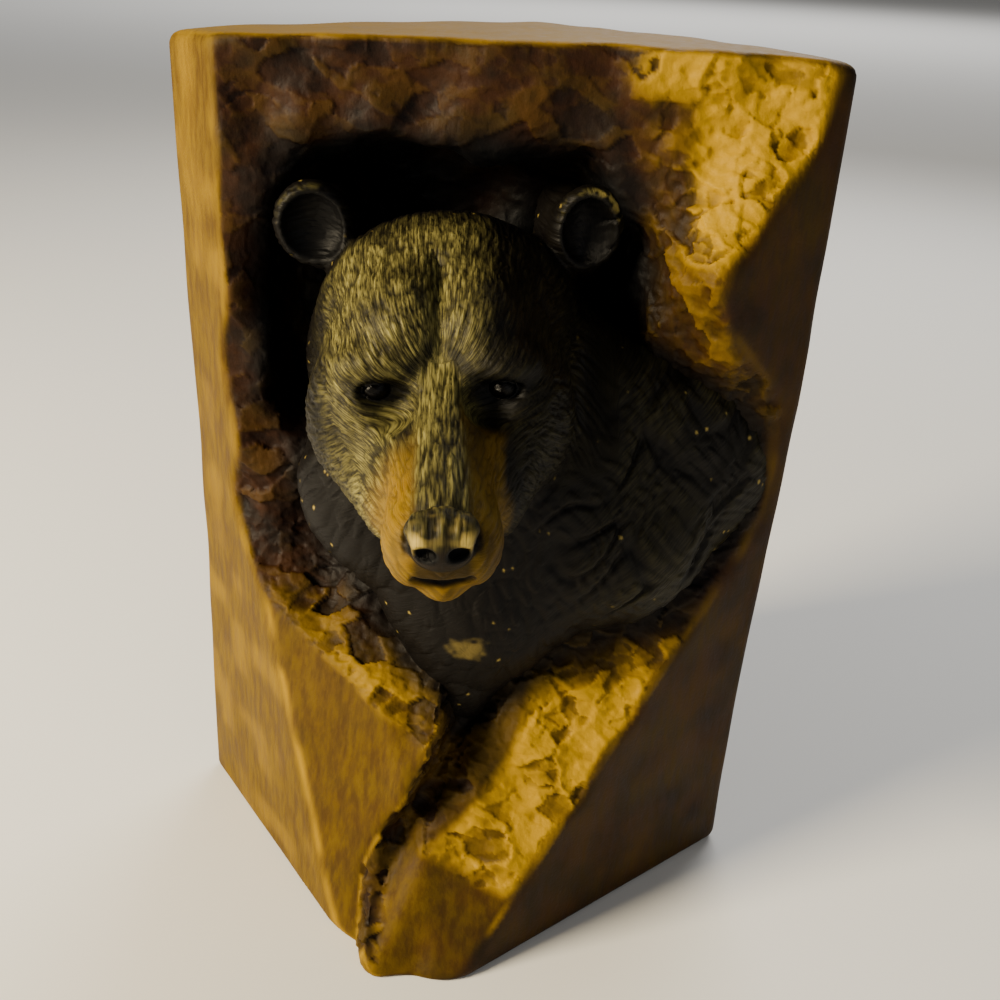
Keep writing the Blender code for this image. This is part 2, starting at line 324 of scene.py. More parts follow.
def bear(x, y, z):
    """The whole of the bear without its fur, as far as it stands out of the rock."""
    p = in_head(x, y, z)
    head = blend(skull(p), muzzle(p), 8)
    for side in (-1, 1):
        head = blend(head, ear(p, side), 3)
    shape = blend(head, meet(body(p), column(x, y, z) / UNIT, 3), 6)
    shape = blend(shape, nose(p), 1.5)
    return features(p, shape) * UNIT


def column(x, y, z):
    """The column itself, before its front was broken away."""
    across = x / HALF_DIAGONAL
    high = z / BLOCK_HEIGHT
    left = LEFT_LEAN * ramp(high, 0, 1) + LEFT_WAIST * np.exp(-(((high - 0.42) / 0.25) ** 2))
    right = RIGHT_FLARE * ramp(high, 0.15, 0.7)
    lean = (left * np.maximum(-across, 0) - right * np.maximum(across, 0)) / math.sqrt(2)
    walls = [(sx * x + sy * y) / math.sqrt(2) - BLOCK_SIDE / 2 + lean for sx in (-1, 1) for sy in (-1, 1)]
    walls[0] = walls[0] - FRONT_SPREAD * (1 + across)
    walls[2] = walls[2] - FRONT_SPREAD * (1 - across)
    shape = walls[0]
    for wall in walls[1:]:
        shape = meet(shape, wall, FILLET * EDGE_ROUNDING)
    top = BLOCK_HEIGHT - TOP_CROWN * across ** 4 + TOP_RISE * (1 + across) / 2
    shape = meet(shape, z - top, FILLET * EDGE_ROUNDING)
    return meet(shape, -z, FILLET * FOOT_ROUNDING)


def share_across(x):
    """0 at the column's left edge and 1 at its right edge."""
    return (x + HALF_DIAGONAL) / (2 * HALF_DIAGONAL)


def cliff_at(high):
    """Where the cliff between the two low facets stands at this share of the height."""
    return (CLIFF_FOOT + CLIFF_LEAN * ramp(high, 0.08, 0.30)) * HALF_DIAGONAL


def facet_top(across):
    """Share of the height at which the plain left facet ends."""
    return 0.282 - 0.34 * (across - 0.5)


def broken_front(x, z):
    """How far back the rough front of the rock lies at each place."""
    across = share_across(x)
    high = z / BLOCK_HEIGHT
    rim = RIM_LEFT + (RIM_RIGHT - RIM_LEFT) * across
    rim = rim - RIM_LUMP * np.exp(-(((high - 0.79) / 0.10) ** 2)) * ramp(across, 0.72, 0.88)
    facet = FACET_FOOT + FACET_TURN * x + FACET_SLOPE * z
    facet = facet + 0.85 * BLOCK_HEIGHT * np.maximum(high - facet_top(across), 0)
    sill = SILL_FOOT + SILL_TURN * x + SILL_SLOPE * z
    cliff = cliff_at(high)
    lower = facet + (sill - facet) * ramp(x - cliff, 0, CLIFF_WIDTH)
    groove = np.exp(-(((x - cliff) / CLIFF_WIDTH - 1.4) ** 2)) * (1 - ramp(high, 0.28, 0.36))
    lower = lower + GROOVE_DEPTH * groove * ramp(high, 0.0, 0.10)
    return blend(rim, lower, BREAK_ROUNDING)


def uneven_places(x, z):
    """1 where the front undulates, fading to 0 on the two plain facets low down."""
    across = share_across(x)
    high = z / BLOCK_HEIGHT
    left = 1 - ramp(high - facet_top(across), -0.02, 0.02)
    left = left * (1 - ramp(across, 0.42, 0.48))
    right = 1 - ramp(high, 0.10, 0.13)
    right = right * ramp(across, 0.5, 0.56)
    return 1 - np.maximum(left, right)


def niche(x, y, z):
    """The hollow behind the head. Its floor slants up to the left, below the bear's neck."""
    top = BLOCK_HEIGHT - NICHE_ROOF
    bottom = 0.47 * BLOCK_HEIGHT
    middle = (x + 0.07 * HALF_DIAGONAL, y - RIM_LEFT, z - (top + bottom) / 2)
    half = (NICHE_WIDTH / 2, NICHE_DEPTH, (top - bottom) / 2)
    power = sum((np.abs(m) / h) ** 4 for m, h in zip(middle, half)) ** 0.25
    floor = 0.58 * BLOCK_HEIGHT - 0.7 * (x + 0.6 * HALF_DIAGONAL) - z
    return meet((power - 1) * NICHE_DEPTH, floor * 0.8, NICHE_FLOOR_ROUNDING)


def rock(x, y, z):
    """The column with its broken front and its niche, negative inside."""
    rough = waves(x, 0 * x, z, ROUGH_GRAIN, 11, 12) * ROUGHNESS * uneven_places(x, z)
    front = (broken_front(x, z) + rough - y) * 0.85
    shape = meet(column(x, y, z), front, RIM_ROUNDING)
    hollow = niche(x, y, z) + waves(x, y, z, ROUGH_GRAIN, 23, 8) * ROUGHNESS
    return carve(shape, hollow, NICHE_LIP)


def scatter(i, j, k, seed):
    """A fixed number from 0 to 1 for each cell of a grid."""
    mix = (i * 374761393 + j * 668265263 + k * 1440662683 + seed * 1274126177) & 0xFFFFFFFF
    mix = ((mix ^ (mix >> 13)) * 1274126177) & 0xFFFFFFFF
    return ((mix ^ (mix >> 16)) & 0xFFFF) / 65535.0


def lumps(x, y, z, seed):
    """Smooth noise between -1 and 1, with about one lump to a unit."""
    whole = [np.floor(v).astype(np.int64) for v in np.broadcast_arrays(x, y, z)]
    part = [v - w for v, w in zip((x, y, z), whole)]
    part = [p * p * (3 - 2 * p) for p in part]
    total = 0.0
    for corner in range(8):
        step = [(corner >> axis) & 1 for axis in range(3)]
        weight = 1.0
        for p, s in zip(part, step):
            weight = weight * (p if s else 1 - p)
        total = total + weight * scatter(*(w + s for w, s in zip(whole, step)), seed)
    return 2 * total - 1


def chips(x, y, z, seed):
    """Cells of about one unit: distance to the nearest cell's middle, and that cell's own number."""
    place = np.broadcast_arrays(x, y, z)
    whole = [np.floor(v).astype(np.int64) for v in place]
    nearest = np.full(place[0].shape, 9.0)
    tone = np.zeros(place[0].shape)
    for step in np.ndindex(3, 3, 3):
        cell = [w + s - 1 for w, s in zip(whole, step)]
        away = 0.0
        for axis in range(3):
            middle = cell[axis] + scatter(*cell, seed + 7 * axis)
            away = away + (middle - place[axis]) ** 2
        closer = away < nearest
        tone = np.where(closer, scatter(*cell, seed + 31), tone)
        nearest = np.where(closer, away, nearest)
    return np.sqrt(nearest), tone


def strands(across, along, width, length, seed):
    """Combed hair: rounded ridges with sharp valleys, which wander and end. 0 to 1."""
    bend = lumps(across / (3 * width), along / length, 0.5, seed) * 1.1
    line = lumps(across / width + bend, along / length, 0.5, seed + 1)
    return np.sqrt(np.minimum(np.abs(line) * 1.6, 1))


def tufts(across, along, width, length, seed):
    """Overlapping locks, each widest at its root and rising to a pointed tip. 0 to 1."""
    sway = lumps(across / (4 * width), along / length, 0.5, seed + 1)
    place = across / width + 1.4 * sway
    row_of = np.floor(place)
    run = along / length + 7 * scatter(row_of.astype(np.int64), 0, 0, seed + 3)
    share = run - np.floor(run)
    lean = scatter(row_of.astype(np.int64), np.floor(run).astype(np.int64), 0, seed + 4) - 0.5
    inside = 2 * (place - row_of - 0.5) + lean * (share - 0.5)
    wide = 1.05 - 0.75 * share ** 2
    return np.clip(1 - (inside / wide) ** 2, 0, 1) * (0.25 + 0.75 * share) * (1 - ramp(share, 0.85, 1))


def comb(p):
    """Across and along the way the fur lies on the head, in metres, fanning out from the brow."""
    forward, side, up = p
    rise = up - 5
    reach = np.hypot(side, rise) + 1e-6
    turn = np.abs(np.arctan2(side, rise))
    turn = turn - 0.010 * reach * np.sin(turn)
    across = turn * np.minimum(reach + 10, 38) * UNIT * np.sign(side + 1e-9)
    along = (reach - 0.8 * forward) * UNIT
    return across, along


def muzzle_share(p):
    """1 on the short-haired muzzle, 0 on the rest of the head."""
    forward, side, up = p
    return ramp(forward + 0.2 * up, 4, 12) * (1 - ramp(np.hypot(side, up + 10), 20, 27))


def bridge_share(p):
    """1 along the ridge from the brow to the nose."""
    forward, side, up = p
    width = 5.0 + 0.04 * np.maximum(forward, 0)
    across = 1 - ramp(np.abs(side), width - 2, width + 2)
    return ramp(forward, -6, 3) * across * ramp(up, -9, -5)


def nose_share(p):
    """1 on the pad of the nose."""
    return 1 - ramp(nose(p), 0.3, 1.0)


def bare_share(p):
    """1 where no hair stands: on the eyes, and on the nose below its top."""
    on_nose = nose_share(p) * ramp(-p[2], 0.5, 3.5)
    return np.maximum(1 - ramp(eyeballs(p), 0.3, 1.6), on_nose)


def near_ear(p):
    """Distance from the hollow of the nearer ear."""
    return np.minimum(ear_hollow(p, -1), ear_hollow(p, 1))


def face_hair(p):
    """Height of the fur on the head, in shares of the fur's depth."""
    forward, side, up = p
    across, along = comb(p)
    long_hair = 0.25 * strands(across, along, 2.0 * MM, 6 * MM, 3)
    long_hair = long_hair + 0.35 * strands(across, along, 1.0 * MM, 3.6 * MM, 9)
    long_hair = long_hair + 0.35 * strands(across, along, 0.6 * MM, 2.6 * MM, 15)
    long_hair = long_hair + 0.25 * tufts(across, along, 1.1 * MM, 4 * MM, 19)
    strength = 0.85 + 0.40 * ramp(-up, -4, 14)
    over, lie = (side - 0.2 * up) * UNIT, forward * UNIT
    ridge_hair = 0.50 * strands(over, lie, 0.65 * MM, 4 * MM, 21)
    ridge_hair = ridge_hair + 0.35 * strands(over, lie, 1.1 * MM, 6 * MM, 22)
    flank = (np.abs(side) - up) * UNIT
    short_hair = 0.30 * strands(flank + 0.3 * lie, lie, 0.7 * MM, 2.4 * MM, 27)
    on_muzzle, on_bridge = muzzle_share(p), bridge_share(p)
    hair = long_hair * strength * (1 - on_muzzle) + short_hair * on_muzzle
    hair = hair * (1 - on_bridge) + ridge_hair * on_bridge
    in_ear = 1 - ramp(near_ear(p), 0, 1.5)
    return hair * (1 - 0.3 * in_ear)


def coat_hair(p, x, y, z):
    """Height of the shoulder's folds and the chest's locks, in shares of the fold depth."""
    forward, side, up = p
    bend = waves(x, y, z, 13 * MM, 41, 6) * 2.0 * MM
    across = (0.80 * up - 0.60 * side) * UNIT + bend
    along = (0.80 * side + 0.60 * up) * UNIT
    fold = lumps(across / (4.2 * MM), along / (11 * MM), 0.5, 43)
    broken = ramp(lumps(across / (7 * MM), along / (7 * MM), 0.5, 44), -0.5, 0.1)
    shoulder = 1.2 - 1.2 * np.exp(-((fold / 0.16) ** 2)) * broken
    shoulder = shoulder + 0.7 * lumps(across / (5 * MM), along / (7 * MM), 0.5, 46)
    shoulder = shoulder + 0.5 * tufts(along, across, 2.4 * MM, 6 * MM, 48)
    shoulder = shoulder + 0.35 * lumps(across / (1.6 * MM), along / (3 * MM), 0.5, 47)
    shoulder = shoulder + 0.2 * lumps(across / (0.8 * MM), along / (1.6 * MM), 0.5, 49)
    fan = (side - 8) / np.maximum(40 - up, 30) * 60 * UNIT
    fall = (forward - up) * UNIT
    chest = 0.7 * strands(fan + 0.7 * bend, fall, 2.6 * MM, 8 * MM, 51)
    chest = chest + 0.5 * tufts(fan, fall, 2.0 * MM, 6 * MM, 53)
    chest = chest + 0.3 * strands(fan, fall, 0.9 * MM, 4.5 * MM, 55)
    chest = chest + 0.4 * lumps(x / (5 * MM), y / (5 * MM), z / (5 * MM), 57)
    on_shoulder = ramp(side, 20, 34) * ramp(up, -84, -66)
    return shoulder * on_shoulder + chest * (1 - on_shoulder)


def rock_chips(x, y, z):
    """Height of the chipped rock in shares of the chip depth, and each flake's own number."""
    warp = lumps(x / (2.6 * MM), y / (2.6 * MM), z / (2.6 * MM), 59) * 0.75 * MM
    warp = warp + waves(x, y, z, 9 * MM, 61, 6) * 1.2 * MM
    broad, tone = chips((x + warp) / (6.5 * MM), y / (5 * MM), (z - warp) / (4.2 * MM), 63)
    small, small_tone = chips((x - warp) / (2.9 * MM), y / (2.4 * MM), (z + warp) / (1.9 * MM), 71)
    rubble = lumps(x / (1.7 * MM), y / (1.7 * MM), z / (1.3 * MM), 75)
    grit = lumps(x / (0.8 * MM), y / (0.8 * MM), z / (0.8 * MM), 77)
    height = 0.5 * (broad ** 2 - 0.35) + 1.1 * (tone - 0.5) + 0.25 * (small ** 2 - 0.35)
    height = height + 0.45 * (small_tone - 0.5) + 0.18 * rubble + 0.12 * grit
    return height, 0.6 * tone + 0.4 * small_tone


def slope_of(points, field):
    """The field's value and its slope at each point."""
    step = 0.04 * MM
    columns = [points[:, axis] for axis in range(3)]
    slope = np.empty_like(points)
    for axis in range(3):
        ahead, behind = list(columns), list(columns)
        ahead[axis] = columns[axis] + step
        behind[axis] = columns[axis] - step
        slope[:, axis] = (field(*ahead) - field(*behind)) / (2 * step)
    return field(*columns), slope


def settle(points, field):
    """Points moved onto the surface in two steps, and the surface's outward directions there."""
    flattest, longest = 0.05, 0.6 * MM
    for _ in range(2):
        value, slope = slope_of(points, field)
        steep = np.maximum((slope ** 2).sum(axis=1), flattest)
        move = np.clip(value / steep, -longest, longest)
        points = points - move[:, None] * slope
    outward = slope / np.maximum(np.linalg.norm(slope, axis=1), 1e-9)[:, None]
    return points, outward


def skin(field, low, high, cell):
    """The surface of a field inside a box, as points and four-sided faces."""
    axes = [np.arange(a, b + cell, cell) for a, b in zip(low, high)]
    values = field(axes[0][:, None, None], axes[1][None, :, None], axes[2][None, None, :])
    grid = openvdb.FloatGrid()
    grid.copyFromArray(np.ascontiguousarray(values / cell, dtype=np.float32))
    grid.gridClass = openvdb.GridClass.LEVEL_SET
    points, _, quads = grid.convertToPolygons(isovalue=0.0, adaptivity=0.0)
    return points * cell + np.array([axis[0] for axis in axes]), quads[:, ::-1].astype(np.int64)


def mesh_of(name, points, quads):
    """A mesh of these faces, without the points that none of them uses."""
    used, index = np.unique(quads, return_inverse=True)
    mesh = bpy.data.meshes.new(name)
    mesh.vertices.add(len(used))
    mesh.vertices.foreach_set("co", points[used].astype(np.float32).ravel())
    mesh.loops.add(quads.size)
    mesh.loops.foreach_set("vertex_index", index.astype(np.int32).ravel())
    mesh.polygons.add(len(quads))
    mesh.polygons.foreach_set("loop_start", np.arange(0, quads.size, 4, dtype=np.int32))
    mesh.update(calc_edges=True)
    return mesh


def object_of(name, data):
    """A new object in the scene that shows this mesh, lamp or camera."""
    thing = bpy.data.objects.new(name, data)
    bpy.context.scene.collection.objects.link(thing)
    return thing


def finer(mesh):
    """The same mesh with each face divided in four and smoothed."""
    helper = object_of("helper", mesh)
    divide = helper.modifiers.new("divide", "SUBSURF")
    divide.levels = 1
    divide.render_levels = 1
    graph = bpy.context.evaluated_depsgraph_get()
    made = bpy.data.meshes.new_from_object(helper.evaluated_get(graph))
    bpy.data.objects.remove(helper, do_unlink=True)
    return made


def points_of(mesh):
    """The mesh's points as rows of x, y and z."""
    points = np.empty(len(mesh.vertices) * 3, np.float32)
    mesh.vertices.foreach_get("co", points)
    return points.reshape(-1, 3).astype(np.float64)


def finish_piece(name, mesh, points, masks, material):
    """The finished piece: in its place, inside the model's box, smooth and ready for its paint."""
    placed = np.clip(points + MIDDLE, CAD_BOX[0], CAD_BOX[1])
    mesh.vertices.foreach_set("co", placed.astype(np.float32).ravel())
    for mask, values in masks.items():
        store = mesh.attributes.new(mask, "FLOAT", "POINT")
        store.data.foreach_set("value", np.broadcast_to(values, len(points)).astype(np.float32).ravel())
    mesh.shade_smooth()
    mesh.update()
    mesh.name = name
    mesh.materials.clear()
    mesh.materials.append(material)
    piece = object_of(name, mesh)
    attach(piece, "root")
    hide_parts(NODE)


def start_material(name):
    """A new material, the tree of its nodes and its shader."""
    material = bpy.data.materials.new(name)
    material.use_nodes = True
    return material, material.node_tree, material.node_tree.nodes["Principled BSDF"]


def add_node(tree, kind, settings, inputs, out=0):
    """Adds a shader node with its settings and inputs, and returns one of its outputs."""
    node = tree.nodes.new("ShaderNode" + kind)
    for key, value in settings.items():
        setattr(node, key, value)
    for key, value in inputs.items():
        if isinstance(value, bpy.types.NodeSocket):
            tree.links.new(value, node.inputs[key])
        else:
            node.inputs[key].default_value = value
    return node.outputs[out]


def paint_layers(tree, colour, layers):
    """Each layer is the name of a mask and the colour that it brings over the ones before it."""
    for mask, over in layers:
        share = add_node(tree, "Attribute", {"attribute_name": mask}, {}, "Fac")
        inputs = {SHARE: share, UNDER: colour, OVER: over}
        colour = add_node(tree, "Mix", COLOURS, inputs, MIXED)
    return colour


def painted_rock(look):
    """Polyester resin cast in a rubber mould, sprayed brown and rubbed with ochre by hand.

    To the eye: satin, blotchy where the rub missed, with soft brush marks on the plain faces.
    """
    material, tree, shader = start_material("cast_resin_painted_as_rock")
    place = add_node(tree, "TexCoord", {}, {}, "Object")
    # Brush marks 1.5 mm wide and 6 mm long, as marks to the metre
    brush_place = add_node(tree, "Mapping", {}, {"Vector": place, "Scale": (670, 670, 170)})
    brush = add_node(
        tree, "TexNoise", {},
        {"Vector": brush_place, "Scale": 1.0, "Detail": 5.0, "Roughness": 0.6})
    blotch = add_node(
        tree, "TexNoise", {},
        {"Vector": place, "Scale": 1 / (8 * MM), "Detail": 4.0, "Roughness": 0.6})
    # The grain that spray paint leaves, drawn at 0.5 mm, coarser than it is, so that it shows
    grit = add_node(
        tree, "TexNoise", {},
        {"Vector": place, "Scale": 1 / (0.5 * MM), "Detail": 2.0, "Roughness": 0.5})
    patchy = add_node(tree, "MapRange", SOFT, {"Value": blotch, "From Min": 0.35, "From Max": 0.65})
    ground = add_node(
        tree, "Mix", COLOURS,
        {SHARE: patchy, UNDER: look.rock_dark, OVER: look.rock_brown}, MIXED)
    streak = add_node(tree, "MapRange", SOFT, {"Value": brush, "From Min": 0.3, "From Max": 0.7})
    ochre = add_node(
        tree, "Mix", COLOURS,
        {SHARE: streak, UNDER: look.ochre_deep, OVER: look.ochre}, MIXED)
    # The last layer, black, is painted shade
    layers = (("ochre", ochre), ("yellow", look.yellow), ("shade", look.black))
    colour = paint_layers(tree, ground, layers)
    tree.links.new(colour, shader.inputs["Base Color"])
    rough = add_node(
        tree, "MapRange", {},
        {"Value": brush, "From Min": 0.2, "From Max": 0.8, "To Min": 0.48, "To Max": 0.74})
    tree.links.new(rough, shader.inputs["Roughness"])
    relief = add_node(tree, "Math", {"operation": "MULTIPLY_ADD"}, {0: brush, 1: 1.6, 2: grit})
    bump = add_node(tree, "Bump", {}, {"Strength": 0.5, "Distance": 0.12 * MM, "Height": relief})
    tree.links.new(bump, shader.inputs["Normal"])
    shader.inputs["IOR"].default_value = PAINT_IOR
    shader.inputs["Specular IOR Level"].default_value = ROCK_SHINE
    return material


def painted_fur(look):
    """The same cast resin, painted black-brown and dry-brushed so that the tips of the fur are light.

    To the eye: satin black in the valleys, olive grey on the ridges, glossy drops for the eyes.
    """
    material, tree, shader = start_material("cast_resin_painted_as_fur")
    place = add_node(tree, "TexCoord", {}, {}, "Object")
    across = add_node(tree, "Attribute", {"attribute_name": "hair_across"}, {}, "Fac")
    along = add_node(tree, "Attribute", {"attribute_name": "hair_along"}, {}, "Fac")
    # Single hairs 0.35 mm wide and 3 mm long, drawn coarser than real hair so that they show
    lie = add_node(tree, "CombineXYZ", {}, {"X": across, "Y": along})
    spread = add_node(tree, "Mapping", {}, {"Vector": lie, "Scale": (2.9, 0.33, 1.0)})
    hair = add_node(
        tree, "TexNoise", {},
        {"Vector": spread, "Scale": 1.0, "Detail": 3.0, "Roughness": 0.55})
    # The brush covered unevenly, in clouds of 4.5 mm
    cloud = add_node(
        tree, "TexNoise", {},
        {"Vector": place, "Scale": 220.0, "Detail": 3.0, "Roughness": 0.6})
    ground = add_node(
        tree, "Mix", COLOURS,
        {SHARE: cloud, UNDER: look.fur_black, OVER: look.fur_brown}, MIXED)
    streak = add_node(
        tree, "MapRange", SOFT,
        {"Value": hair, "From Min": 0.34, "From Max": 0.66})
    tip = add_node(
        tree, "Mix", COLOURS,
        {SHARE: streak, UNDER: look.fur_olive, OVER: look.fur_grey}, MIXED)
    tan = add_node(
        tree, "Mix", COLOURS,
        {SHARE: cloud, UNDER: look.tan_deep, OVER: look.tan}, MIXED)
    # The light and tan layers fade where shade is painted, and the black layer is painted shade
    layers = (("light", tip), ("tan", tan), ("pad", look.nose_black),
              ("worn", look.worn), ("shade", look.black), ("eye", look.eye))
    colour = paint_layers(tree, ground, layers)
    tree.links.new(colour, shader.inputs["Base Color"])
    eye = add_node(tree, "Attribute", {"attribute_name": "eye"}, {}, "Fac")
    gloss = add_node(tree, "MapRange", {}, {"Value": eye, "To Min": 0.52, "To Max": 0.16})
    tree.links.new(gloss, shader.inputs["Roughness"])
    bump = add_node(tree, "Bump", {}, {"Strength": 0.7, "Distance": 0.18 * MM, "Height": hair})
    tree.links.new(bump, shader.inputs["Normal"])
    shader.inputs["IOR"].default_value = PAINT_IOR
    shader.inputs["Specular IOR Level"].default_value = FUR_SHINE
    return material


def rough_places(x, z):
    """1 where the front is chipped, 0 on the two plain facets low down, with a sharp border."""
    across = share_across(x)
    high = z / BLOCK_HEIGHT
    left = 1 - ramp(high - facet_top(across), -0.012, 0.012)
    cliff = cliff_at(high)
    left = left * (1 - ramp(x - cliff, -0.6 * MM, 0.6 * MM))
    right = 1 - ramp(high + 0.30 * (across - 0.5), 0.125, 0.15)
    right = right * ramp(x - cliff, 4 * MM, 6 * MM)
    return 1 - np.maximum(left, right)


def rock_masks(points, outward, broken, flake, height):
    """Where the rock is ochre, dry-brushed yellow and black, with painted light in the ochre and yellow and
    painted shade in the black.
    """
    x, y, z = points.T
    high = z / BLOCK_HEIGHT
    # The regions of the column: the broken front, its plain facets, the walls and the top
    chipped = rough_places(x, z)
    rough, plain, wall = chipped * broken, (1 - chipped) * broken, 1 - broken
    left_wall = wall * ramp(-outward[:, 0] - outward[:, 1], 0.6, 1.2)
    right_wall = wall * ramp(outward[:, 0] - outward[:, 1], 0.6, 1.2)
    back_wall = wall * ramp(outward[:, 1], 0.3, 0.6)
    top = wall * ramp(outward[:, 2], 0.6, 0.9)
    low = 1 - ramp(high, 0.30, 0.42)
    # The bright patch at the upper right, ochre paint brightened with painted light where it faces the lamp,
    # and the stony strip below it
    patch = ramp(x, 31 * MM, 35 * MM) * ramp(z, 118 * MM, 127 * MM)
    patch = np.maximum(patch, 0.7 * ramp(x, 20 * MM, 26 * MM) * ramp(z, 142 * MM, 147 * MM))
    stony = ramp(x, 24 * MM, 30 * MM) * ramp(z, 86 * MM, 94 * MM)
    edge = 1 - ramp(np.maximum(y - broken_front(x, z), -column(x, y, z)), 0.2 * MM, 1.0 * MM)
    blotch = lumps(x / (6 * MM), y / (6 * MM), z / (6 * MM), 91)
    # Painted shade in the groove beside the plain facet: a darker brown wedge, narrow at the foot
    past_cliff = x - cliff_at(high)
    groove_shade_end = 1.5 * MM + 11 * MM * ramp(high, 0.0, 0.26) + 1.5 * MM * blotch
    groove_shade = ramp(past_cliff, 0, 0.8 * MM) * (1 - ramp(past_cliff - groove_shade_end, 0, 3 * MM)) * low
    # Ochre, most of it low down, with painted light that makes it brighter to the right there
    painted_light_right = 0.45 + 0.45 * ramp(x, 0, 12 * MM)
    ochre = low * (0.30 + 0.45 * painted_light_right) * (1 - 0.8 * groove_shade) + 0.75 * patch + 0.20 * stony
    ochre = rough * (0.02 + ochre + 0.30 * (flake - 0.5) * (low + patch + 0.15))
    ochre = ochre + plain * (0.68 + 0.12 * blotch) * (1 - 0.40 * ramp(x, 0, 4 * MM))
    # Painted light and shade on the walls: the left wall bright ochre, the right wall dark brown
    ochre = ochre + left_wall * (0.97 + 0.1 * blotch) + right_wall * (0.17 + 0.14 * blotch)
    ochre = ochre + back_wall * (0.45 + 0.2 * blotch) + top * (0.8 + 0.2 * blotch)
    # Yellow, rubbed onto what stands out and onto the edges, with painted light: strongest on the bright
    # patch, low on the right, on the left edges and on the left wall
    yellow = 0.05 + 1.0 * patch + 0.18 * stony + low * (0.35 + 0.65 * painted_light_right) * (1 - 0.85 * groove_shade)
    cover = np.maximum(patch, 0.75 * low * painted_light_right)
    stand = 0.45 * cover + (1 - 0.45 * cover) * ramp(height + 0.35 * blotch + 0.65 * cover, -0.15, 0.50)
    yellow = rough * stand * yellow * ramp(flake + 0.35 * cover, 0.20, 0.65)
    edge = edge * ramp(blotch, -0.7, 0.3) * (0.8 - 0.5 * ramp(x, 15 * MM, 40 * MM))
    yellow = np.maximum(yellow, edge * (0.4 + 0.6 * low))
    yellow = np.maximum(yellow, left_wall * 0.25 * ramp(blotch, -0.2, 0.8) + top * 0.35)
    # Painted shade in black: in the niche, darkest high up, round the bear, in the dips between the chips and
    # a little in the groove
    hollow = ramp(-niche(x, y, z), -4 * MM, 0.5 * MM) * (0.35 + 0.65 * ramp(z, 78 * MM, 100 * MM))
    painted_shade_round_bear = 1 - ramp(bear(x, y, z), 0.5 * MM, 7 * MM)
    dip = (0.55 - 0.35 * cover) * (1 - ramp(height, -0.8, -0.1)) * rough
    shade = broken * np.maximum(np.maximum(hollow, 0.9 * painted_shade_round_bear), dip)
    shade = np.maximum(shade, 0.35 * groove_shade * broken)
    masks = {"ochre": ochre, "yellow": yellow, "shade": shade}
    return {name: np.clip(mask, 0, 1) for name, mask in masks.items()}


def make_rock(sizes, look):
    """The rock in two pieces: the broken front with the niche, and the plain sides."""
    spare = 2 * MM
    reach = HALF_DIAGONAL + RIGHT_FLARE + spare
    high = BLOCK_HEIGHT + TOP_RISE + spare
    points, quads = skin(rock, (-reach, -reach, -spare), (reach, reach, high), sizes.rock_grid)
    middles = points[quads].mean(axis=1)
    # The rock ends a little under the bear's skin, and the two pieces overlap at the rim
    inside = -column(*middles.T)
    shown = bear(*middles.T) > -1.5 * MM
    material = painted_rock(look)
    front = shown & (inside > 0.5 * MM)
    sides = shown & (inside < 1.6 * MM)
    for name, chosen in (("rock_front", front), ("rock_sides", sides)):
        mesh = mesh_of(name, points, quads[chosen])
        if name == "rock_front":
            mesh = finer(mesh)
        places, outward = settle(points_of(mesh), rock)
        x, y, z = places.T
        depth = -column(x, y, z)
        broken = ramp(depth, 0.15 * MM, 1.2 * MM)
        in_niche = ramp(-niche(x, y, z), 0, 1 * MM)
        height, flake = rock_chips(x, y, z)
        quiet = 1 - 0.55 * ramp(z, 75 * MM, 95 * MM) * (1 - ramp(x, 22 * MM, 30 * MM))
        move = sizes.chip_depth * height * quiet * broken * np.maximum(rough_places(x, z), in_niche)
        move = move + sizes.wall_waves * (waves(x, y, z, 14 * MM, 81, 8) - 1) * ramp(z, 0, 3 * MM)
        if name == "rock_sides":
            # The overlap is tucked under the front
            move = move - 0.2 * MM * ramp(depth, 0.9 * MM, 1.6 * MM)
        masks = rock_masks(places, outward, broken, flake, height)
        places = places + outward * move[:, None]
        finish_piece(name, mesh, places, masks, material)


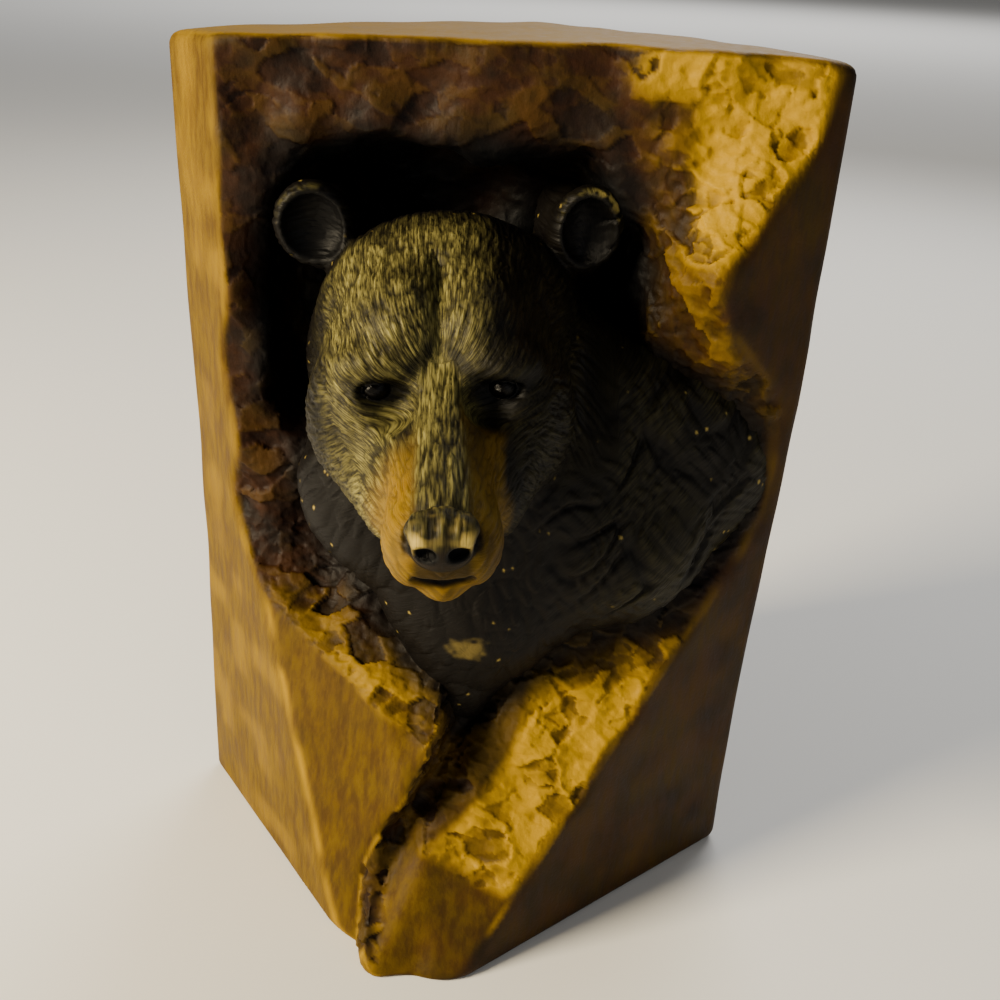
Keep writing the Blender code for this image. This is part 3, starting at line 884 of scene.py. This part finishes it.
def bear_masks(p, hair, x, y, z):
    """Where the bear is light, tan, bare, worn, black and glossy; the black and the fading of the light and
    the tan are painted shade.
    """
    forward, side, up = p
    wide = np.abs(side)
    on_muzzle, on_bridge, pad = muzzle_share(p), bridge_share(p), nose_share(p)
    # Dry-brushed light paint on the head and a breath on the shoulder, with painted shade: less on the right
    # half, at the back of the head and on the ears
    on_head = ramp(forward, -54, -30) * ramp(up, -40, -24) * (1 - ramp(wide, 34, 42))
    shaded_right_side = ramp(side - 0.3 * np.maximum(up - 6, 0), 1, 12)
    ears = 1 - ramp(near_ear(p), 2.5, 5.5) * ramp(wide, 24, 28) - ramp(28 - wide, 0, 4)
    light = on_head * (0.90 - 0.85 * shaded_right_side) * (1 - np.clip(ears, 0, 1))
    light = light * (1 - 0.70 * ramp(-side, 2, 12) * ramp(-up, -2, 10) * (1 - on_muzzle))
    light = light * (1 - 0.85 * ramp(-side, 24, 31))
    light = light + (1 - on_head) * 0.06 * ramp(side, 25, 60)
    worn_off = lumps(x / (6 * MM), y / (6 * MM), z / (6 * MM), 93)
    tips = hair * (1 + 1.4 * on_muzzle * (1 - on_bridge)) + 0.10 * worn_off + 0.12 * on_bridge
    light = light * (0.10 + 0.94 * ramp(tips, 0.26, 0.95)) * (1 - 0.25 * on_bridge)
    light = light * (1 - 0.45 * pad)
    # Painted shade in the eye sockets and under the brows, with the dark round the eyes
    socket = np.hypot((wide - 14.0) / 7.5, (up - 1.2) / 4.2)
    socket = (1 - ramp(socket, 0.7, 1.4)) * ramp(forward, -14, -8)
    step = np.clip((wide - 2) / 8, 0, 1)
    brow = np.abs(up - (10.5 - 7.0 * step)) + 3 * np.maximum(wide - 11, 0) + 3 * np.maximum(2 - wide, 0)
    brow = (1 - ramp(brow, 0.8, 3.4)) * ramp(forward, -14, -8) * (1 - ramp(forward, 8, 12))
    # Tan sides of the muzzle, darker on the right side as painted shade
    start = 15 - (9 - 14 * ramp(-up, 2, 14)) * ramp(side, -3, 3)
    tan = ramp(forward, start - 2, start + 13 - 9 * ramp(side, -3, 3))
    tan = tan * on_muzzle * (1 - on_bridge) * (1 - pad)
    tan = tan * (1 - ramp(-up, 25, 30) * (1 - ramp(forward, 34, 40)))
    tan = tan * (0.95 - 0.45 * shaded_right_side) * (0.55 + 0.45 * ramp(hair, 0.05, 0.22))
    # The nose's pad with its rubbed wings, pale flecks in the coat and the worn spot on the chest
    lower_pad = pad * (1 - ramp(up, -5.0, -2.5))
    wings = np.exp(-(((wide - 5.4) / 1.9) ** 2)) * ramp(up, -7.0, -5.0) * (1 - ramp(up, -2.0, 0.5))
    fine = lumps(x / (0.8 * MM), y / (0.8 * MM), z / (0.8 * MM), 95)
    worn = pad * np.maximum(0.9 * wings, 0.16 * (1 - lower_pad)) * ramp(fine + 1.8 * wings, -0.2, 1.0)
    spot, tone = chips(x / (1.6 * MM), y / (1.6 * MM), z / (1.6 * MM), 97)
    flecks = (1 - ramp(spot + 0.15 * fine, 0.06, 0.24)) * (tone > 0.90) * (1 - on_head)
    stone = 1 - ramp(np.hypot((side - 6) / 6, (up + 77) / 4) + 0.35 * fine, 0.4, 1.1)
    worn = np.maximum(worn, np.maximum(0.5 * flecks, 0.16 * stone))
    # Painted shade in black: the lines of the mouth and the wings, the nostrils, under the nose, the ears'
    # hollows, the sockets and under the brows
    mouth = 1 - ramp(np.abs(up - lip_line(side)), 0.9 - 0.1 * wide, 2.0 - 0.15 * wide)
    mouth = mouth * (1 - ramp(wide, 5.6, 7.6)) * ramp(forward, 36, 40)
    nostril = 1 - ramp(pair(p, (57, 3.6, -5.6), (4.5, 2.7, 2.1)), -0.1, 0.9)
    slit = (1 - ramp(pair(p, (52, 7.6, -5.5), (6, 0.9, 3.4)), 0.1, 1.3)) * ramp(forward, 43, 47)
    under_nose = (1 - ramp(wide, 5, 8)) * ramp(forward, 44, 48) * ramp(-up, 9, 11) * (1 - ramp(-up, 15.2, 17))
    shade = np.maximum(np.maximum(mouth, nostril), np.maximum(0.9 * slit, 0.8 * under_nose))
    in_ear = 1 - ramp(near_ear(p), 0.0, 1.8)
    shade = np.maximum(shade, np.maximum(0.9 * in_ear, np.maximum(0.92 * socket, 0.75 * brow)))
    # The ears' rims catch some of the light paint
    rim = (1 - ramp(np.abs(near_ear(p) - 1.6), 0.4, 1.8)) * ramp(up, 22, 29) * ramp(wide, 28, 32)
    worn = np.maximum(worn, 0.45 * rim * ramp(side, 40, 46) * ramp(fine, -0.3, 0.3))
    light = np.maximum(light, rim * ramp(fine, -0.5, 0.3) * (0.12 + 0.75 * ramp(side, 38, 46)))
    eye = 1 - ramp(eyeballs(p), 0.25, 0.7)
    masks = {"light": light, "tan": tan, "pad": lower_pad, "worn": worn, "shade": shade, "eye": eye}
    return {name: np.clip(mask, 0, 1) for name, mask in masks.items()}


def make_bear(sizes, look):
    """The bear in four pieces: the face, the crown with the ears, the chest and the shoulder."""
    # The grid's box: a little ahead of the nose, and back into the rock
    low = np.array([-42 * MM, -NOSE_REACH - 3 * MM, 32 * MM])
    high = np.array([58, 16, 140]) * MM
    points, quads = skin(bear, low, high, sizes.fur_grid)
    middles = points[quads].mean(axis=1)
    shown = rock(*middles.T) > -1.4 * MM
    shown = shown & (middles > low + 2 * MM).all(axis=1) & (middles < high - 2 * MM).all(axis=1)
    p = in_head(*middles.T)
    head = shown & (p[2] > THROAT_LINE) & (p[1] < HEAD_SIDE) & (p[0] > NAPE)
    coat = shown & ~head
    pieces = {
        "bear_face": head & (p[0] > FACE_BACK), "bear_crown": head & (p[0] <= FACE_BACK),
        "bear_chest": coat & (p[1] < SHOULDER_START), "bear_shoulder": coat & (p[1] >= SHOULDER_START)}
    material = painted_fur(look)
    for name, chosen in pieces.items():
        mesh = finer(mesh_of(name, points, quads[chosen]))
        places, outward = settle(points_of(mesh), bear)
        x, y, z = places.T
        q = in_head(x, y, z)
        on_face = np.maximum(ramp(q[2], -34, -22), ramp(q[0], 8, 16)) * (1 - ramp(q[1], 38, 48))
        hair, folds = face_hair(q), coat_hair(q, x, y, z)
        move = (hair - 0.45) * sizes.fur_depth * on_face + (folds - 1.2) * sizes.fold_depth * (1 - on_face)
        move = move * (1 - bare_share(q))
        masks = bear_masks(q, hair * on_face + 0.5 * folds * (1 - on_face), x, y, z)
        # The painted hairs fan out on the head, run along the bridge and lie aslant on the coat
        across, along = comb(q)
        on_ridge = bridge_share(q) > 0.5
        across, along = np.where(on_ridge, q[1] * UNIT, across), np.where(on_ridge, q[0] * UNIT, along)
        masks["hair_across"] = (across * on_face + (0.8 * q[2] - 0.6 * q[1]) * UNIT * (1 - on_face)) / MM
        masks["hair_along"] = (along * on_face + (0.8 * q[1] + 0.6 * q[2]) * UNIT * (1 - on_face)) / MM
        places = places + outward * move[:, None]
        finish_piece(name, mesh, places, masks, material)


def make_camera():
    """The camera as the photograph's was, turned, tipped and rolled."""
    level = np.array([math.cos(CAMERA_YAW), -math.sin(CAMERA_YAW), 0.0])
    flat = math.cos(CAMERA_PITCH)
    ahead = np.array([math.sin(CAMERA_YAW) * flat, math.cos(CAMERA_YAW) * flat, -math.sin(CAMERA_PITCH)])
    upright = np.cross(level, ahead)
    right = math.cos(CAMERA_ROLL) * level + math.sin(CAMERA_ROLL) * upright
    up = -math.sin(CAMERA_ROLL) * level + math.cos(CAMERA_ROLL) * upright
    data = bpy.data.cameras.new("camera")
    data.lens = CAMERA_LENS
    data.sensor_width = SENSOR
    data.clip_start = NEAREST_SHOWN
    camera = object_of("camera", data)
    place = CAMERA_PLACE + MIDDLE
    rows = [(right[i], up[i], -ahead[i], place[i]) for i in range(3)]
    camera.matrix_world = Matrix((*rows, (0, 0, 0, 1)))
    bpy.context.scene.camera = camera


def make_light(name, place, target, size, power, colour):
    """A square lamp that points at its target."""
    data = bpy.data.lights.new(name, "AREA")
    data.size = size
    data.energy = power
    data.color = linear(colour)[:3]
    lamp = object_of(name, data)
    back = np.array(place) - np.array(target)
    back = back / np.linalg.norm(back)
    side = np.cross((0, 0, 1), back)
    side = side / np.linalg.norm(side)
    up = np.cross(back, side)
    rows = [(side[i], up[i], back[i], place[i]) for i in range(3)]
    lamp.matrix_world = Matrix((*rows, (0, 0, 0, 1)))


def make_floor(look):
    """Matt paper, so that only the figurine has gloss."""
    material, _, shader = start_material("matt_paper")
    shader.inputs["Base Color"].default_value = look.floor
    shader.inputs["Roughness"].default_value = 0.95
    shader.inputs["Specular IOR Level"].default_value = 0.1
    bpy.ops.mesh.primitive_plane_add(size=FLOOR_WIDTH, location=(0, 0, 0))
    floor = bpy.context.active_object
    floor.name = "floor"
    floor.data.materials.append(material)


def paint(name, description, code):
    """A colour that the user can change, which starts from an sRGB hex code."""
    return bpy.props.FloatVectorProperty(
        name=name, description=description, default=linear(code), size=4, min=0, max=1, subtype="COLOR")


class FigurineSizes(bpy.types.PropertyGroup):
    """Sizes of the fine relief"""

    fur_depth: bpy.props.FloatProperty(
        name="Fur depth", description="Height of the hair on the head",
        default=0.65 * MM, unit="LENGTH")
    fold_depth: bpy.props.FloatProperty(
        name="Fold depth", description="Depth of the folds on the shoulder and chest",
        default=0.55 * MM, unit="LENGTH")
    chip_depth: bpy.props.FloatProperty(
        name="Chip depth", description="Depth of the chips in the broken rock",
        default=1.0 * MM, unit="LENGTH")
    wall_waves: bpy.props.FloatProperty(
        name="Wall waves", description="Unevenness of the plain faces of the column",
        default=0.10 * MM, unit="LENGTH")
    rock_grid: bpy.props.FloatProperty(
        name="Rock grid", description="Spacing of the rock's mesh before its front is divided",
        default=0.8 * MM, unit="LENGTH")
    fur_grid: bpy.props.FloatProperty(
        name="Fur grid", description="Spacing of the bear's mesh before it is divided",
        default=0.54 * MM, unit="LENGTH")


class FigurineLook(bpy.types.PropertyGroup):
    """Colours of the paint"""

    rock_dark: paint("Rock dark", "Ground coat in blotches", "#120703")
    rock_brown: paint("Rock brown", "Ground coat of the rock", "#2b1404")
    ochre_deep: paint("Ochre deep", "Ochre where the brush pressed", "#4b3400")
    # Ochre and yellow are paint; their masks add painted light on the left wall, the upper right patch and
    # low on the right, and painted shade on the right wall
    ochre: paint("Ochre", "Glaze over the rock", "#685000")
    yellow: paint("Yellow", "Rubbed onto the rock's edges", "#a58000")
    # Black is painted shade: in the niche, round the bear, in the rock's dips and groove, and in the bear's
    # lines, sockets and ears
    black: paint("Black", "Sprayed into the niche and hollows", "#020203")
    fur_black: paint("Fur black", "Ground coat of the bear", "#030202")
    fur_brown: paint("Fur brown", "Thin places of the bear's coat", "#090604")
    # The fur's olive and grey are fainter on the right half, the back of the head and the ears, and the tan
    # on the right side: painted shade
    fur_olive: paint("Fur olive", "Dry-brushed fur", "#3a3516")
    fur_grey: paint("Fur grey", "Lightest hairs", "#9d9352")
    tan: paint("Tan", "Light parts of the muzzle", "#866a04")
    tan_deep: paint("Tan deep", "Darker parts of the muzzle", "#6a4a02")
    nose_black: paint("Nose black", "The nose's pad", "#171009")
    worn: paint("Worn", "The light rub on the nose, and flecks in the fur", "#c4ab58")
    eye: paint("Eye", "The glossy eyes", "#040303")
    floor: paint("Floor", "The pale floor", "#f0eee9")


class FIGURINE_OT_rock(bpy.types.Operator):
    """Model and paint the broken column"""

    bl_idname = "figurine.rock"
    bl_label = "Rock"

    def execute(self, context):
        make_rock(context.scene.figurine_sizes, context.scene.figurine_look)
        return {"FINISHED"}


class FIGURINE_OT_bear(bpy.types.Operator):
    """Model and paint the bear's head and shoulder"""

    bl_idname = "figurine.bear"
    bl_label = "Bear"

    def execute(self, context):
        make_bear(context.scene.figurine_sizes, context.scene.figurine_look)
        return {"FINISHED"}


class FIGURINE_OT_stage(bpy.types.Operator):
    """Set up the floor, the lights and the camera"""

    bl_idname = "figurine.stage"
    bl_label = "Stage"

    def execute(self, context):
        make_camera()
        make_floor(context.scene.figurine_look)
        for name, settings in LAMPS.items():
            make_light(name, *settings)
        world = bpy.data.worlds.new("studio")
        context.scene.world = world
        world.use_nodes = True
        glow = world.node_tree.nodes["Background"]
        glow.inputs["Color"].default_value = linear(STUDIO_COLOUR)
        glow.inputs["Strength"].default_value = STUDIO_GLOW
        return {"FINISHED"}


class FIGURINE_PT_panel(bpy.types.Panel):
    """Lists the steps, the sizes and the colours"""

    bl_label = "Figurine"
    bl_idname = "FIGURINE_PT_panel"
    bl_space_type = "VIEW_3D"
    bl_region_type = "UI"
    bl_category = "Figurine"

    def draw(self, context):
        for operator in OPERATORS:
            self.layout.operator(operator.bl_idname)
        for group in (context.scene.figurine_sizes, context.scene.figurine_look):
            for name in group.__annotations__:
                self.layout.prop(group, name)


OPERATORS = (FIGURINE_OT_stage, FIGURINE_OT_rock, FIGURINE_OT_bear)
CLASSES = (FigurineSizes, FigurineLook, *OPERATORS, FIGURINE_PT_panel)


def register():
    """Makes the classes and the two groups of settings known to Blender."""
    for cls in CLASSES:
        bpy.utils.register_class(cls)
    bpy.types.Scene.figurine_sizes = bpy.props.PointerProperty(type=FigurineSizes)
    bpy.types.Scene.figurine_look = bpy.props.PointerProperty(type=FigurineLook)


def unregister():
    """Takes them away again."""
    del bpy.types.Scene.figurine_look
    del bpy.types.Scene.figurine_sizes
    for cls in reversed(CLASSES):
        bpy.utils.unregister_class(cls)


def main():
    """Builds the stage, the rock and the bear in turn."""
    register()
    bpy.ops.figurine.stage()
    bpy.ops.figurine.rock()
    bpy.ops.figurine.bear()


if __name__ == "__main__":
    main()
